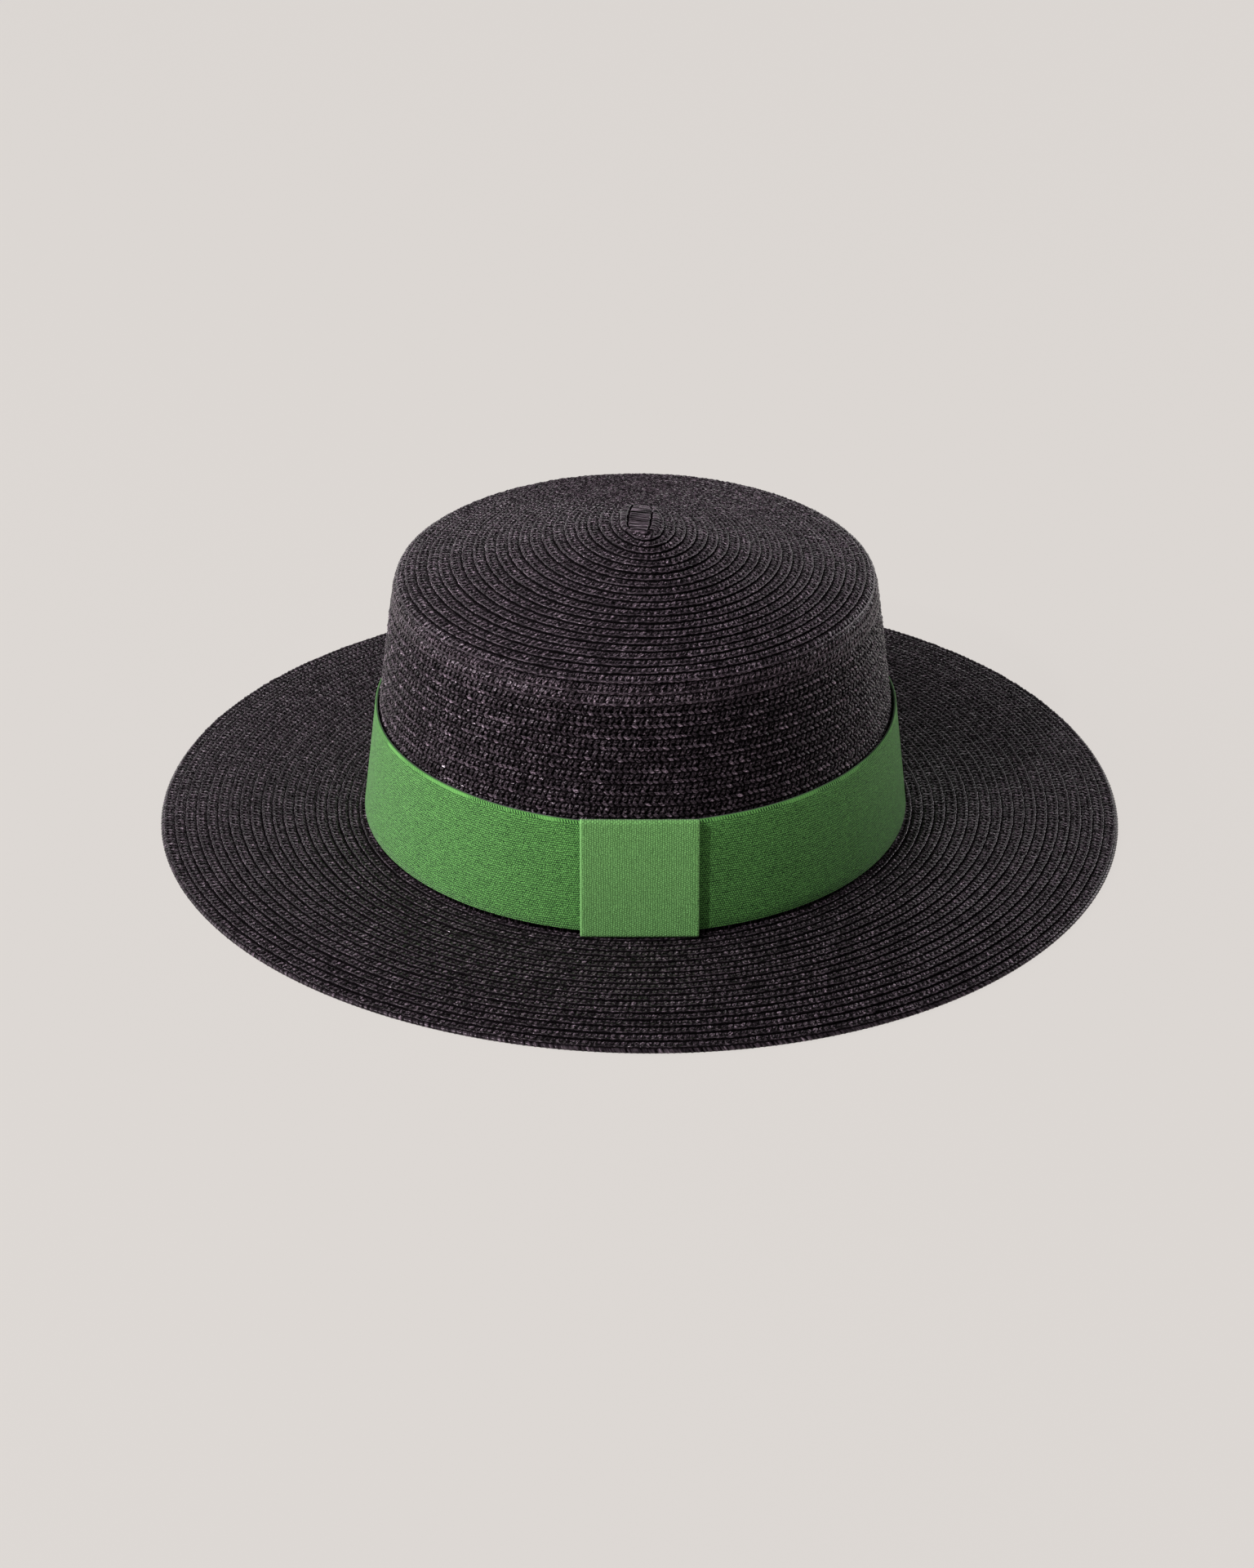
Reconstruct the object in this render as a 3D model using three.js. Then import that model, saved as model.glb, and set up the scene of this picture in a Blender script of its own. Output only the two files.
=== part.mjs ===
// A flat brimmed straw hat with a shallow domed tip and a ribbon band.
// Millimetres, +Z up. The origin lies at the centre of the hat, on the surface it rests on.
// The front, with the ribbon keeper, faces -Y.

import * as THREE from 'three';

// The head oval: every ring is longer from front to back than from side to side.
const OVAL_EXTRA = 4; // added to the half length of each ring
const HEAD_X = -1.4; // the head oval lies this far to one side of the rim's centre
const TIP_CENTRE_HALF_WIDTH = 7; // half width of the oval where the sewing starts
const RING_STEPS = 72; // steps around each ring
const CLEARANCE = 0.3; // between pieces that touch

// Crown
const STRAW_WALL = 2;
const SIDE_TOP = { halfWidth: 80.4, z: 82.5 };
const SIDE_TAPER = 0.1278; // growth of the half width for each millimetre down

// Outer line of the tip, from its centre out over the rounded corner: half width and height
const TIP_LINE = [
  { halfWidth: 0, z: 104.5 },
  { halfWidth: 7, z: 103.4 },
  { halfWidth: 20, z: 101.0 },
  { halfWidth: 32, z: 98.3 },
  { halfWidth: 44, z: 95.5 },
  { halfWidth: 58, z: 92.4 },
  { halfWidth: 72, z: 89.4 },
  { halfWidth: 76.4, z: 88.3 },
  { halfWidth: 78.7, z: 87.2 },
  { halfWidth: 80.0, z: 85.2 },
];

// Inner line over the corner, from the side wall in to the tip
const INNER_CORNER = [
  { halfWidth: 78.2, z: 84.4 },
  { halfWidth: 77.2, z: 85.6 },
  { halfWidth: 75.6, z: 86.4 },
];

// Brim: half width, top height and underside height of each ring, from the crown to the rim
const BRIM_LINE = [
  { halfWidth: 88.6, top: 2.0, under: 0.0 },
  { halfWidth: 93.0, top: 2.0, under: 0.0 },
  { halfWidth: 110.0, top: 2.9, under: 0.9 },
  { halfWidth: 126.0, top: 3.6, under: 1.6 },
  { halfWidth: 140.0, top: 4.0, under: 2.0 },
  { halfWidth: 150.0, top: 3.5, under: 1.3 },
  { halfWidth: 155.5, top: 2.9, under: 0.0 },
  { halfWidth: 160.4, top: 2.3, under: 0.0 },
];
const RIM = { halfWidth: 162, z: 1.2 };
const RIM_X = 0.8; // evens out the lobes, so that the rim's box is centred
const RIM_LOBE = 0.8; // three shallow lobes in the rim's outline

// Ribbon band around the foot of the crown
const RIBBON_BOTTOM = 3.5;
const RIBBON_TOP = 41.0;
const RIBBON_THICKNESS = 0.9;
const RIBBON_OFF_WALL = { bottom: 0.4, top: 0.8 };

// Flat keeper: a loop of the same ribbon that hooks over both edges of the band
const KEEPER_X = -0.2;
const KEEPER_WIDTH = 38;
const KEEPER_THICKNESS = 1.1;
const KEEPER_RISE = 0.9; // its fold above the band's top edge
const KEEPER_DROP = 0.8; // its fold below the band's bottom edge

const straw = new THREE.MeshStandardMaterial({ color: 0x231f21, roughness: 0.6, metalness: 0 });
const brimStraw = new THREE.MeshStandardMaterial({ color: 0x231f21, roughness: 0.6, metalness: 0 });
const ribbon = new THREE.MeshStandardMaterial({ color: 0x3f9a35, roughness: 0.75, metalness: 0 });
const keeperRibbon = new THREE.MeshStandardMaterial({ color: 0x55a349, roughness: 0.75, metalness: 0 });

// Half width of the crown's outer side at a height
function sideHalfWidth(z) {
  return SIDE_TOP.halfWidth + (SIDE_TOP.z - z) * SIDE_TAPER;
}

// A ring of the crown or the ribbon lies on the head oval.
function headShape() {
  return { x: HEAD_X, grow: 0 };
}

// A solid of rings: each profile point is a half width and a height.
// The profile starts and ends on the axis, or closes on itself.
// shape says how far a ring of that half width is moved along X and grown at an angle.
function ovalSolid(profile, shape) {
  const points = profile.map((p) => new THREE.Vector2(p.halfWidth, p.z)).reverse();
  const geometry = new THREE.LatheGeometry(points, RING_STEPS);
  geometry.rotateX(Math.PI / 2);
  const position = geometry.attributes.position;
  for (let i = 0; i < position.count; i++) {
    const x = position.getX(i);
    const y = position.getY(i);
    const halfWidth = Math.hypot(x, y);
    const angle = halfWidth < 1e-6 ? 0 : Math.atan2(y, x);
    const extra = OVAL_EXTRA * Math.min(1, halfWidth / TIP_CENTRE_HALF_WIDTH);
    const change = shape(halfWidth, angle);
    const across = halfWidth + change.grow;
    position.setX(i, across * Math.cos(angle) + change.x);
    position.setY(i, (across + extra) * Math.sin(angle));
  }
  geometry.deleteAttribute('uv');
  geometry.computeVertexNormals();
  return geometry;
}

// The crown's profile: the outer line down, then the inner line back up.
function crownProfile() {
  const outer = [...TIP_LINE];
  const foot = BRIM_LINE[0].top + CLEARANCE;
  for (const z of [SIDE_TOP.z, 62, 42, 22, foot]) {
    outer.push({ halfWidth: sideHalfWidth(z), z });
  }
  const inner = [];
  for (const z of [foot, 22, 42, 62, SIDE_TOP.z]) {
    inner.push({ halfWidth: sideHalfWidth(z) - STRAW_WALL, z });
  }
  const tipInside = TIP_LINE.filter((p) => p.halfWidth < 75).reverse();
  for (const p of tipInside) {
    inner.push({ halfWidth: p.halfWidth, z: p.z - STRAW_WALL });
  }
  inner.splice(5, 0, ...INNER_CORNER);
  return [...outer, ...inner];
}

// How far a ring of the brim has moved from the crown's oval towards the rim's own outline
function rimShape(halfWidth, angle) {
  const first = BRIM_LINE[0].halfWidth;
  const t = THREE.MathUtils.clamp((halfWidth - first) / (RIM.halfWidth - first), 0, 1);
  return {
    x: THREE.MathUtils.lerp(HEAD_X, RIM_X, t),
    grow: -RIM_LOBE * t * Math.cos(3 * angle),
  };
}

function brimProfile() {
  const top = BRIM_LINE.map((p) => ({ halfWidth: p.halfWidth, z: p.top }));
  const under = BRIM_LINE.map((p) => ({ halfWidth: p.halfWidth, z: p.under })).reverse();
  return [...top, RIM, ...under, top[0]];
}

function ribbonProfile() {
  const heights = [RIBBON_TOP, 28, 16, RIBBON_BOTTOM];
  const ring = heights.map((z) => {
    const t = (z - RIBBON_BOTTOM) / (RIBBON_TOP - RIBBON_BOTTOM);
    const off = THREE.MathUtils.lerp(RIBBON_OFF_WALL.bottom, RIBBON_OFF_WALL.top, t);
    return { inner: sideHalfWidth(z) + off, z };
  });
  const outside = ring.map((p) => ({ halfWidth: p.inner + RIBBON_THICKNESS, z: p.z }));
  const inside = ring.map((p) => ({ halfWidth: p.inner, z: p.z })).reverse();
  return [...outside, ...inside, outside[0]];
}

// The keeper's side view, drawn as distance in front of the axis and height, pulled along X.
function keeperGeometry() {
  const bandFront = (z) => {
    const t = (z - RIBBON_BOTTOM) / (RIBBON_TOP - RIBBON_BOTTOM);
    const off = THREE.MathUtils.lerp(RIBBON_OFF_WALL.bottom, RIBBON_OFF_WALL.top, t);
    return sideHalfWidth(z) + off + RIBBON_THICKNESS + OVAL_EXTRA;
  };
  const wallFront = (z) => sideHalfWidth(z) + OVAL_EXTRA;
  const back = (z) => bandFront(z) + CLEARANCE;
  const front = (z) => back(z) + KEEPER_THICKNESS;
  const topUnder = RIBBON_TOP + CLEARANCE;
  const topOver = topUnder + KEEPER_RISE;
  const lowOver = RIBBON_BOTTOM - CLEARANCE;
  const lowUnder = lowOver - KEEPER_DROP;
  const outline = [
    [wallFront(topUnder) + CLEARANCE, topUnder],
    [back(topUnder), topUnder],
    [back(lowOver), lowOver],
    [wallFront(lowOver) + CLEARANCE + 0.1, lowOver],
    [wallFront(lowUnder) + CLEARANCE + 0.1, lowUnder],
    [front(lowUnder) - 0.4, lowUnder],
    [front(lowOver), lowOver],
    [front(topUnder), topUnder],
    [front(topOver) - 0.5, topOver],
    [wallFront(topUnder) + CLEARANCE, topOver],
  ];
  const shape = new THREE.Shape(outline.map(([u, v]) => new THREE.Vector2(u, v)));
  const geometry = new THREE.ExtrudeGeometry(shape, { depth: KEEPER_WIDTH, steps: 1, bevelEnabled: false });
  // Shape u runs to the front (-Y), v runs up and the extrusion runs along X.
  const frame = new THREE.Matrix4().makeBasis(
    new THREE.Vector3(0, -1, 0),
    new THREE.Vector3(0, 0, 1),
    new THREE.Vector3(-1, 0, 0),
  );
  geometry.applyMatrix4(frame);
  geometry.translate(KEEPER_WIDTH / 2, 0, 0);
  return geometry;
}

function piece(name, geometry, material) {
  const mesh = new THREE.Mesh(geometry, material);
  mesh.name = name;
  return mesh;
}

const hat = new THREE.Group();
hat.name = 'straw_hat';
hat.add(piece('crown', ovalSolid(crownProfile(), headShape), straw));
hat.add(piece('brim', ovalSolid(brimProfile(), rimShape), brimStraw));
hat.add(piece('ribbon_band', ovalSolid(ribbonProfile(), headShape), ribbon));
const keeper = piece('ribbon_keeper', keeperGeometry(), keeperRibbon);
keeper.position.x = KEEPER_X;
hat.add(keeper);

export default hat;
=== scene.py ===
import math

import bmesh
import bpy
import numpy as np
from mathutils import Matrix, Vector


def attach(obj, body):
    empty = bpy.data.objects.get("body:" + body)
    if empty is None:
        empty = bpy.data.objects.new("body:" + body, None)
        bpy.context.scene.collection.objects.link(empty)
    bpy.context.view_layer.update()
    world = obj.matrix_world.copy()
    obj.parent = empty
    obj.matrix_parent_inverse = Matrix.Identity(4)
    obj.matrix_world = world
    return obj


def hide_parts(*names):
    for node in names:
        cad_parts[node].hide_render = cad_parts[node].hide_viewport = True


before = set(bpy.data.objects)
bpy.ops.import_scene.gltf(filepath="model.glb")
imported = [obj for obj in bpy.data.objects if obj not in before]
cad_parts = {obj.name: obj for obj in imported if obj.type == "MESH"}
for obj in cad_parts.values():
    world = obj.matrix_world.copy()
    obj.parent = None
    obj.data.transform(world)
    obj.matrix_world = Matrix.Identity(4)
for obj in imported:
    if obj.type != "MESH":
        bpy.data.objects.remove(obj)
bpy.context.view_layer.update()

MM = 0.001

# The shape, as in the solids
OVAL_EXTRA = 4.0  # added to the half length of each ring
HEAD_X = -1.4  # the head oval lies this far to one side of the rim's centre
SIDE_TOP_HALF_WIDTH = 80.4
SIDE_TOP_Z = 82.5
SIDE_TAPER = 0.1278  # growth of the half width for each millimetre down
FOOT_Z = 2.3
STRAW_WALL = 2.0
# Half width and height, from the middle of the tip out over the corner
TIP_LINE = [
    (0, 104.5),
    (7, 103.4),
    (20, 101.0),
    (32, 98.3),
    (44, 95.5),
    (58, 92.4),
    (72, 89.4),
    (76.4, 88.3),
    (78.7, 87.2),
    (80.0, 85.2),
]
# Half width, top height and underside height, from the crown to the rim
BRIM_LINE = [
    (88.6, 2.0, 0.0),
    (93.0, 2.0, 0.0),
    (110.0, 2.9, 0.9),
    (126.0, 3.6, 1.6),
    (140.0, 4.0, 2.0),
    (150.0, 3.5, 1.3),
    (155.5, 2.9, 0.0),
    (160.4, 2.3, 0.0),
]
BRIM_START = BRIM_LINE[0][0]
RIM_HALF_WIDTH = 162.0
RIM_X = 0.8
RIM_LOBE = 0.8  # three shallow lobes in the rim's outline
RIBBON_BOTTOM = 3.5
RIBBON_TOP = 41.0
RIBBON_THICKNESS = 0.9
RIBBON_OFF_BOTTOM = 0.4  # the ribbon stands this far off the crown's wall
RIBBON_OFF_TOP = 0.8
BAND_GIRTH = 576.0
BAND_EDGE_MARKS = (37.4, 37.6, 37.8)  # places across the ribbon, around the band's upper edge
KEEPER_X = -0.2
KEEPER_WIDTH = 38.0

# The braid
ROW = 3.743  # from one row to the next
STITCH = 2.0  # length of one plait along the row
TIP_FIRST_EDGE = 3.257  # outer edge of the first row
BRIM_FIRST_EDGE = 89.9
TIP_TURNS = 23
SIDE_TURNS = TIP_TURNS + 12.5
BRIM_TURNS = (1, 8, 14, 20)  # the brim is three lengths of braid, parted at these turns
START_X = 2.8  # the sewing starts this far from the middle of the head oval
START_Y = 4.5
START_REACH = 78.0  # its rows lie on the head oval from this distance out
TIP_SKEW = 0.16  # the rows of the tip lie askew near its middle
STEP_OUT = 0.12  # part of a turn in which a row moves out to the next one
FLAT_RELIEF = 0.8
SIDE_RELIEF = 1.0
LOWEST = 0.02  # nothing of the brim lies below this height

LINE_STEP = 0.25  # from point to point of a smoothed line
CROWN_BLUR = 1.3
BRIM_BLUR = 3.0
SLOPE_STEP = 0.1  # steps for the slope of a surface: a length and an angle
SLOPE_ANGLE = 0.002
TURN_STEPS = 720


def side_half_width(z):
    return SIDE_TOP_HALF_WIDTH + (SIDE_TOP_Z - z) * SIDE_TAPER


def lengths(line):
    """The length of a line of points up to each of them."""
    return np.concatenate([[0], np.cumsum(np.linalg.norm(np.diff(line, axis=0), axis=1))])


def smooth_line(points, blur):
    """Rounds a line. Gives the length so far and the columns at each of its points."""
    p = np.array(points, float)
    at = lengths(p[:, :2])
    s = np.arange(0, at[-1] + LINE_STEP, LINE_STEP)
    pad = int(3 * blur / LINE_STEP)
    kernel = np.exp(-0.5 * (np.arange(-pad, pad + 1) * LINE_STEP / blur) ** 2)
    kernel /= kernel.sum()
    columns = []
    for column in p.T:
        dense = np.interp(s, at, column)
        before = dense[0] - (dense[1] - dense[0]) * np.arange(pad, 0, -1)
        after = dense[-1] + (dense[-1] - dense[-2]) * np.arange(1, pad + 1)
        full = np.concatenate([before, dense, after])
        columns.append(np.convolve(full, kernel, "valid"))
    return lengths(np.stack(columns[:2], 1)), columns


def along(s, at, column):
    """The column at distance s, carried on straight beyond both ends."""
    value = np.interp(s, at, column)
    value = value + np.minimum(s - at[0], 0) * (column[4] - column[0]) / (at[4] - at[0])
    return value + np.maximum(s - at[-1], 0) * (column[-1] - column[-5]) / (at[-1] - at[-5])


crown_points = TIP_LINE + [(side_half_width(z), z) for z in (SIDE_TOP_Z, 62.0, 42.0, 22.0, FOOT_Z)]
crown_s, (crown_a, crown_z) = smooth_line(crown_points, CROWN_BLUR)
_, (brim_a, brim_top, brim_under) = smooth_line(BRIM_LINE, BRIM_BLUR)


def crown_at(s, angle):
    """A point of the crown's outer surface, s from the start of the sewing."""
    a = along(s, crown_s, crown_a)
    z = along(s, crown_s, crown_z)
    off = np.clip(1 - s / START_REACH, 0, 1)
    x = HEAD_X + START_X * off + a * (np.cos(angle) - TIP_SKEW * off * np.sin(angle))
    y = START_Y * off + (a + OVAL_EXTRA + START_Y * off) * np.sin(angle)
    return np.stack([x, y, z], -1)


def brim_ring(a, z, angle):
    """A point of a ring of the brim with that half width and height."""
    t = np.clip((a - BRIM_START) / (RIM_HALF_WIDTH - BRIM_START), 0, 1)
    across = a - RIM_LOBE * t * np.cos(3 * angle)
    x = HEAD_X + (RIM_X - HEAD_X) * t + across * np.cos(angle)
    y = (across + OVAL_EXTRA) * np.sin(angle)
    return np.stack([x, y, z + 0 * angle], -1)


def brim_at(a, angle):
    """A point of the brim's upper surface."""
    return brim_ring(a, np.interp(a, brim_a, brim_top), angle)


def raised(surface, s, angle, height):
    """The surface's point, moved along its outward normal."""
    p = surface(s, angle)
    down = surface(s + SLOPE_STEP, angle) - surface(s - SLOPE_STEP, angle)
    round_it = surface(s, angle + SLOPE_ANGLE) - surface(s, angle - SLOPE_ANGLE)
    n = np.cross(down, round_it)
    n /= np.maximum(np.linalg.norm(n, axis=-1, keepdims=True), 1e-9)
    return p + n * np.expand_dims(height, -1)


def wander(at, scale, seed):
    """Smooth seeded noise from -1 to 1 along a length."""
    x = at / scale
    i = np.floor(x).astype(int)
    low = int(i.min())
    values = np.random.default_rng(seed).uniform(-1, 1, int(i.max()) - low + 3)
    f = x - i
    f = f * f * (3 - 2 * f)
    return values[i - low] * (1 - f) + values[i - low + 1] * f


def grid(name, points, uv, closed=False, round_it=False):
    """A smooth mesh from rows of points, with a place in the braid for each of them. Seen from outside, the
    next row lies to the left of a row. closed joins the last row to the first one, and then uv has one row
    more, for the far side of that joint. round_it joins the last column to the first one."""
    rows, columns = points.shape[:2]
    index = np.arange(rows * columns).reshape(rows, columns)
    uv_index = np.arange(uv.shape[0] * columns).reshape(uv.shape[0], columns)
    if closed:
        index = np.concatenate([index, index[:1]])
    if round_it:
        index = np.concatenate([index, index[:, :1]], axis=1)
        uv_index = np.concatenate([uv_index, uv_index[:, :1]], axis=1)
    quads = []
    for i in (index, uv_index):
        corners = [i[:-1, :-1], i[:-1, 1:], i[1:, 1:], i[1:, :-1]]
        quads.append(np.stack(corners, -1).reshape(-1, 4))
    mesh = bpy.data.meshes.new(name)
    mesh.from_pydata((points.reshape(-1, 3) * MM).tolist(), [], quads[0].tolist())
    layer = mesh.uv_layers.new(name="braid")
    layer.data.foreach_set("uv", uv.reshape(-1, 2)[quads[1].ravel()].astype(np.float32).ravel())
    mesh.shade_smooth()
    mesh.update()
    made = bpy.data.objects.new(name, mesh)
    bpy.context.scene.collection.objects.link(made)
    return made


def weld(made, gap):
    """Joins the points of a mesh that are closer than a gap."""
    mesh = bmesh.new()
    mesh.from_mesh(made.data)
    bmesh.ops.remove_doubles(mesh, verts=mesh.verts, dist=gap * MM)
    mesh.to_mesh(made.data)
    mesh.free()


def turn_shift(turn):
    """Rows are level, and each moves out by one row over a short part of its turn, at the back."""
    whole = np.floor(turn)
    f = np.clip((turn - whole) / STEP_OUT, 0, 1)
    return whole + f * f * (3 - 2 * f)


# Across one row: place (0 inner edge, 1 outer edge), mark, height on a plait, beside it and
# between two plaits, and how far the plaits lean there
FLAT_SECTION = [
    (-0.05, 0.00, -0.94, -0.95, -0.98, 0.80),
    (0.05, 0.05, -0.78, -0.82, -0.86, 0.76),
    (0.34, 0.36, 0.04, -0.06, -0.24, 0.56),
    (0.55, 0.55, -0.14, -0.18, -0.24, 0.38),
    (0.77, 0.70, -0.14, -0.18, -0.24, 0.28),
    (0.87, 0.80, 0.16, 0.12, 0.00, 0.32),
    (1.00, 0.90, 0.02, -0.02, -0.14, 0.44),
    (0.94, 1.00, -0.95, -0.95, -1.00, 0.46),
]
SIDE_SECTION = [
    (-0.05, 0.00, -0.60, -0.62, -0.80, 0.66),
    (0.08, 0.12, -0.34, -0.38, -0.55, 0.60),
    (0.24, 0.33, 0.02, -0.08, -0.38, 0.46),
    (0.42, 0.50, -0.04, -0.16, -0.40, 0.30),
    (0.54, 0.62, -0.50, -0.56, -0.70, 0.18),
    (0.66, 0.72, 0.20, 0.02, -0.30, 0.14),
    (0.89, 0.90, 0.28, 0.00, -0.40, 0.50),
    (0.88, 1.00, -0.70, -0.72, -0.80, 0.52),
]
HOLE_STRIP = 3  # the strip of FLAT_SECTION with the holes between plaits
# Points along one plait: its top, a side, the crease, a side
FLAT_PLAIT = np.array([0.0, 0.20, 0.5, 0.80])
SIDE_PLAIT = np.array([0.0, 0.34, 0.5, 0.66])
PLAIT_POINTS = 4

# Parts of a row, as places across it
INNER_PART = 0.2
SLIP_PART = 0.5
OUTER_PART = 0.7

# How much single plaits differ from each other, at most
SIZE_SPREAD = 0.45
LEAN_SPREAD = 0.09
TILT_SPREAD = 0.20
SLIP_SPREAD = 0.24
HEIGHT_SPREAD = 0.10


def braid(name, surface, section, first_edge, from_turn, to_turn, seed, relief):
    """Rows of braid sewn on a surface, from one turn to another. Turns start at the back. section is the
    braid's shape across a row, and relief says how deep it is between two plaits."""
    dense = np.linspace(from_turn, to_turn, int((to_turn - from_turn) * TURN_STEPS) + 1)
    edge = surface(first_edge + ROW * (turn_shift(dense) - 0.5), math.pi / 2 + 2 * math.pi * dense)
    length = lengths(edge)
    plaits = int(length[-1] / STITCH)
    on_flat = section is FLAT_SECTION
    phase = (np.arange(plaits)[:, None] + (FLAT_PLAIT if on_flat else SIDE_PLAIT)).ravel()
    rng = np.random.default_rng(seed)
    size = rng.uniform(1 - SIZE_SPREAD, 1 + SIZE_SPREAD, plaits + 3)
    lean = rng.uniform(-LEAN_SPREAD, LEAN_SPREAD, plaits + 3)
    tilt = rng.uniform(-TILT_SPREAD, TILT_SPREAD, plaits + 3)
    slip = rng.uniform(-SLIP_SPREAD, SLIP_SPREAD, plaits + 3)
    which = np.floor(phase + 0.5).astype(int)
    every_other = 1 + 0.2 * np.cos(math.pi * phase)
    drift = 0.10 * wander(phase, 9, seed + 1) + 0.05 * wander(phase, 2.3, seed + 2)
    lift = 0.06 * wander(phase, 14, seed + 3) + 0.03 * wander(phase, 1.5, seed + 4)
    jitter = 0.16 * wander(phase, 1.2, seed + 5)
    scallop = 0.10 * np.cos(2 * math.pi * phase)
    columns = []
    marks = []
    for place, mark, crest, beside, valley, shift in section:
        at = np.interp((phase + shift + jitter) * STITCH, length, dense)
        s = first_edge + ROW * (turn_shift(at) - 1 + place)
        middle = 0.5 * (crest + valley)
        lobe = np.array([crest, beside, valley, beside])[np.arange(len(phase)) % PLAIT_POINTS] - middle
        level = middle + (1 - relief) * 0.5 * (crest - valley)
        height = level + relief * lobe * every_other * size[which] + lift
        if on_flat and place < INNER_PART:
            # The step between two rows is deeper at the front and the back than at the sides
            height = height * (0.86 + 0.14 * np.cos(4 * math.pi * at))
        if place > INNER_PART:
            uneven = rng.uniform(-HEIGHT_SPREAD, HEIGHT_SPREAD, len(phase))
            height = height + uneven + tilt[which] * (place - 0.5)
        if INNER_PART < place < SLIP_PART:
            s = s + slip[which]
        if place > OUTER_PART:
            s = s + drift + scallop + lean[which]
        columns.append(raised(surface, s, math.pi / 2 + 2 * math.pi * at, height))
        marks.append(np.stack([phase, 0 * phase + mark], -1))
    made = grid(name, np.stack(columns, 1), np.stack(marks, 1))
    # Painted shade: faces in the holes between flat plaits and in the first and last strips of a row take
    # the second, near-black material
    step = np.arange(len(phase) - 1)[:, None] % PLAIT_POINTS
    strip = np.arange(len(section) - 1)[None, :]
    crease = (step == 1) | (step == 2)
    gap = crease & (strip == HOLE_STRIP) & on_flat
    gap = gap | (strip == 0) | (strip == len(section) - 2)
    made.data.polygons.foreach_set("material_index", gap.ravel().astype(np.int32))
    # The side and the inner strips stay faceted, so that single plaits glint
    smooth = np.broadcast_to((strip >= HOLE_STRIP) & on_flat, gap.shape)
    made.data.polygons.foreach_set("use_smooth", smooth.ravel())
    return made


def shell(name, ring, sections, steps):
    """A closed ring of a cross-section. Each point of it is what ring() takes, and a mark across the row."""
    angle = np.linspace(0, 2 * math.pi, steps, endpoint=False)
    points = np.stack([ring(value, angle) for value, mark in sections], 1)
    middle = points[:, len(sections) // 2]
    length = lengths(np.concatenate([middle, middle[:1]]))
    whole = round(length[-1] / STITCH)
    marks = [np.stack([length / length[-1] * whole, 0 * length + mark], -1) for value, mark in sections]
    return grid(name, points, np.stack(marks, 1), closed=True)


# Materials
def material(name):
    """A new material without any nodes."""
    made = bpy.data.materials.new(name)
    made.use_nodes = True
    made.node_tree.nodes.clear()
    return made


class Nodes:
    """Short calls that add nodes to a material."""

    def __init__(self, made):
        self.tree = made.node_tree

    def add(self, kind, **settings):
        node = self.tree.nodes.new(kind)
        for key, value in settings.items():
            setattr(node, key, value)
        return node

    def put(self, socket, value):
        if isinstance(value, bpy.types.NodeSocket):
            self.tree.links.new(value, socket)
        else:
            socket.default_value = value

    def math(self, operation, a, b=0.0, c=0.0):
        node = self.add("ShaderNodeMath", operation=operation)
        for socket, value in zip(node.inputs, (a, b, c)):
            self.put(socket, value)
        return node.outputs[0]

    def plus(self, a, b):
        return self.math("ADD", a, b)

    def minus(self, a, b):
        return self.math("SUBTRACT", a, b)

    def times(self, a, b):
        return self.math("MULTIPLY", a, b)

    def grey(self, value):
        return self.combine(value, value, value)

    def combine(self, x, y, z=0.0):
        node = self.add("ShaderNodeCombineXYZ")
        for socket, value in zip(node.inputs, (x, y, z)):
            self.put(socket, value)
        return node.outputs[0]

    def noise(self, vector, scale, detail=2.0, rough=0.5):
        node = self.add("ShaderNodeTexNoise")
        self.put(node.inputs["Vector"], vector)
        node.inputs["Scale"].default_value = scale
        node.inputs["Detail"].default_value = detail
        node.inputs["Roughness"].default_value = rough
        return node.outputs["Fac"]

    def spread(self, value, low, high, to_low, to_high, smooth=True):
        """Maps the values from low to high onto those from to_low to to_high, and clamps them."""
        node = self.add("ShaderNodeMapRange")
        if smooth:
            node.interpolation_type = "SMOOTHSTEP"
        for socket, given in zip(node.inputs, (value, low, high, to_low, to_high)):
            self.put(socket, given)
        return node.outputs[0]

    def mix(self, factor, a, b, blend="MIX"):
        node = self.add("ShaderNodeMix", data_type="RGBA", blend_type=blend)
        self.put(node.inputs[0], factor)
        self.put(node.inputs[6], a)
        self.put(node.inputs[7], b)
        return node.outputs[2]

    def bump(self, height, strength, distance, normal=None):
        node = self.add("ShaderNodeBump")
        node.inputs["Strength"].default_value = strength
        node.inputs["Distance"].default_value = distance * MM
        self.put(node.inputs["Height"], height)
        if normal is not None:
            self.put(node.inputs["Normal"], normal)
        return node.outputs[0]

    def principled(self, **inputs):
        node = self.add("ShaderNodeBsdfPrincipled")
        for key, value in inputs.items():
            self.put(node.inputs[key.replace("_", " ")], value)
        out = self.add("ShaderNodeOutputMaterial")
        self.tree.links.new(node.outputs[0], out.inputs[0])

    def uv(self):
        """The place in the braid, or on the ribbon: along it and across it."""
        mark = self.add("ShaderNodeUVMap", uv_map="braid")
        split = self.add("ShaderNodeSeparateXYZ")
        self.tree.links.new(mark.outputs[0], split.inputs[0])
        return split.outputs[0], split.outputs[1]


DARK_STRAW = (0.032, 0.0230, 0.0295, 1)
LIGHT_STRAW = (0.056, 0.0420, 0.0520, 1)
STRAW_SHINE = (1.0, 0.83, 0.945, 1)
BLACK = (0, 0, 0, 1)

# Marks across a row of braid, from its inner edge at 0 to its outer edge at 1
GROOVE = 0.625
STRAND_START = 0.70  # the outer strand, which stands up
STRAND_TOP = 0.84


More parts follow.
